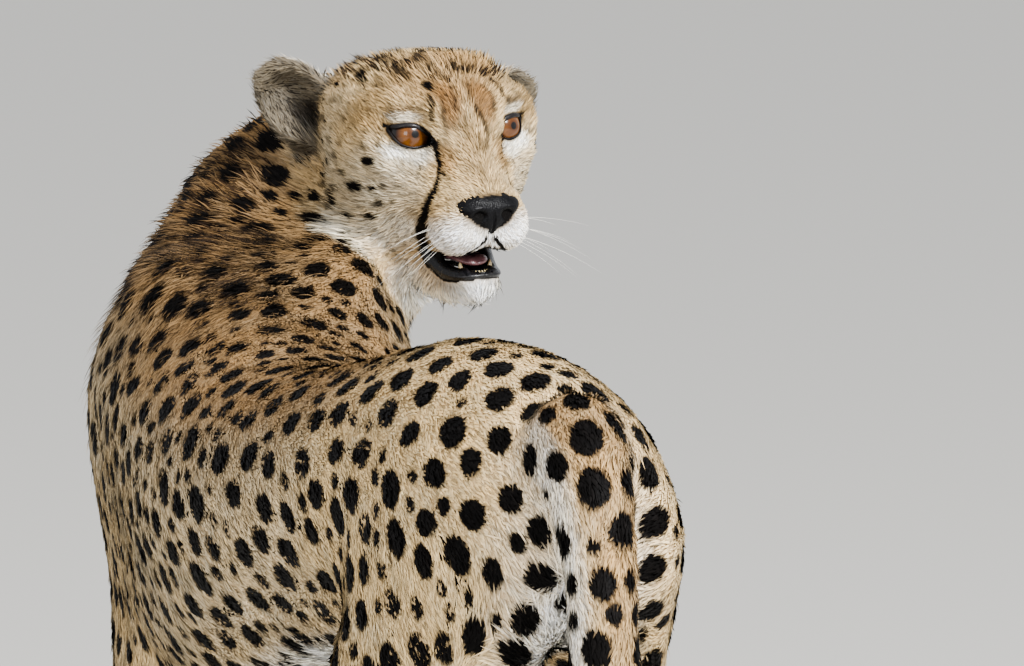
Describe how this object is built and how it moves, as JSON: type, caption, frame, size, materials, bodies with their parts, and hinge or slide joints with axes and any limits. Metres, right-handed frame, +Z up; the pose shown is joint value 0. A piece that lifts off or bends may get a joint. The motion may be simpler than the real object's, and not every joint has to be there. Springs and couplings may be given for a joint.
{
  "type": "cheetah",
  "caption": "Adult cheetah standing on all four feet with its tail hanging and its head turned back over its right shoulder, mouth a little open.",
  "frame": {"origin": "middle of the bounding box at ground level, on the plane the soles rest on", "axes": "+X from the hips to the shoulders, +Y towards the animal's left side, +Z up"},
  "size_m": [1.1028, 0.3554, 0.9002],
  "materials": {
    "coat": "short dense fur, sandy with black spots, white underneath",
    "eye": "wet, amber brown iris",
    "nose": "bare black nose leather, slightly moist",
    "tongue": "wet",
    "tooth": "smooth ivory",
    "claw": "worn horn"
  },
  "bodies": {
    "root": {"head": "coat", "lower_jaw": "coat", "ear_left": "coat", "ear_right": "coat", "neck": "coat", "chest": "coat", "abdomen": "coat", "hindquarters": "coat", "thigh_left": "coat", "upper_arm_left": "coat", "thigh_right": "coat", "upper_arm_right": "coat", "lower_leg_hind_left": "coat", "paw_hind_left": "coat", "lower_leg_hind_right": "coat", "paw_hind_right": "coat", "lower_leg_fore_left": "coat", "paw_fore_left": "coat", "lower_leg_fore_right": "coat", "paw_fore_right": "coat", "tail_base": "coat", "tail_middle": "coat", "tail_tip": "coat", "nose": "nose", "tongue": "tongue", "eye_left": "eye", "eye_right": "eye"}
  },
  "joints": []
}
